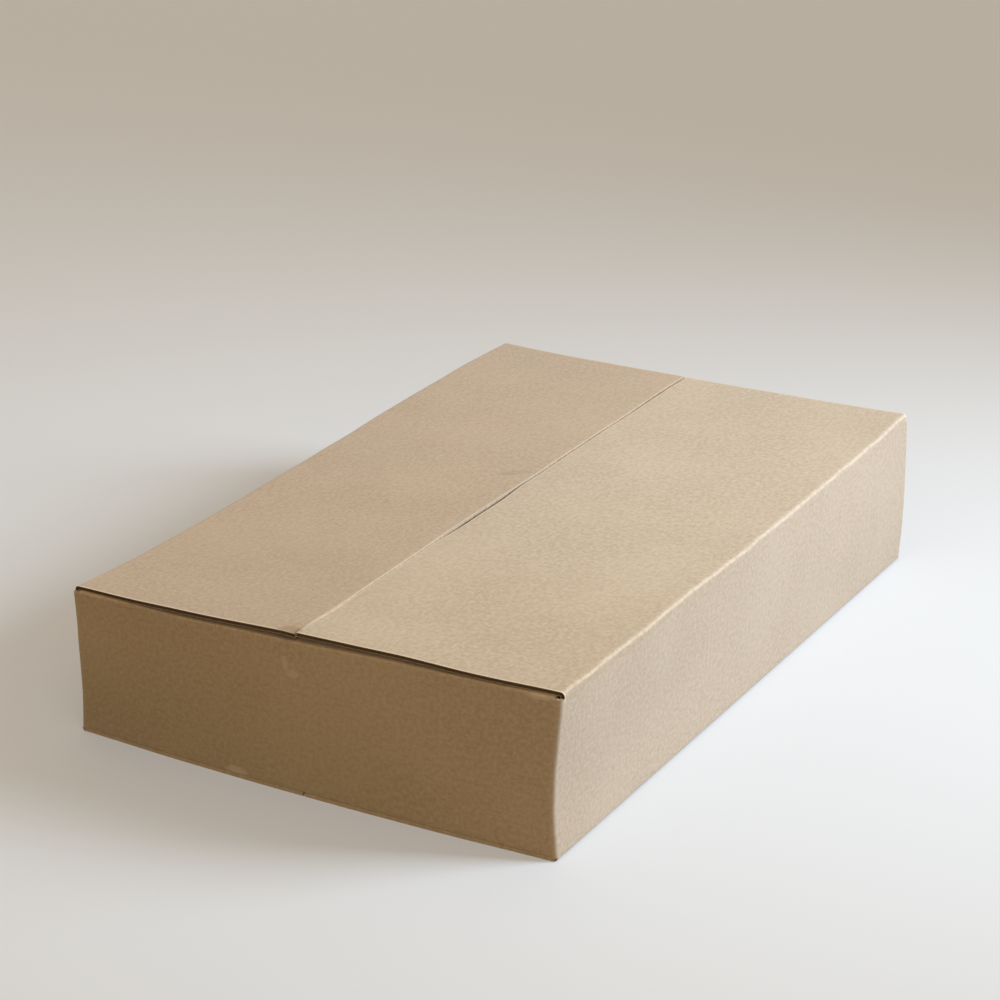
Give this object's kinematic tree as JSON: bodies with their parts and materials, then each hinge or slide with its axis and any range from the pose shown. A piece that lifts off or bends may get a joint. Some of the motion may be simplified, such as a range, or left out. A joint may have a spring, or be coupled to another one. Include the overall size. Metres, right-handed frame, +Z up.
{
  "type": "closed slotted cardboard box",
  "caption": "Low kraft cardboard carton, folded shut: outer top flaps meet in a seam along the length and open on their folds.",
  "frame": {"origin": "centre of the footprint, on the surface the box stands on", "axes": "+Y along the length and the top seam, +X across the width towards the right long wall, +Z up"},
  "size_m": [0.2, 0.31, 0.063],
  "materials": {
    "kraft_board": "matte"
  },
  "bodies": {
    "carton": {"carton": "kraft_board"},
    "flap_right": {"top_flap_right": "kraft_board"},
    "flap_left": {"top_flap_left": "kraft_board"}
  },
  "joints": [
    {"name": "right_flap_fold", "type": "hinge", "parent": "carton", "child": "flap_right", "pos_m": [0.1, 0, 0.06225], "axis": [0, 1, 0], "range_deg": [0, 218]},
    {"name": "left_flap_fold", "type": "hinge", "parent": "carton", "child": "flap_left", "pos_m": [-0.1, 0, 0.06225], "axis": [0, -1, 0], "range_deg": [0, 218]}
  ]
}
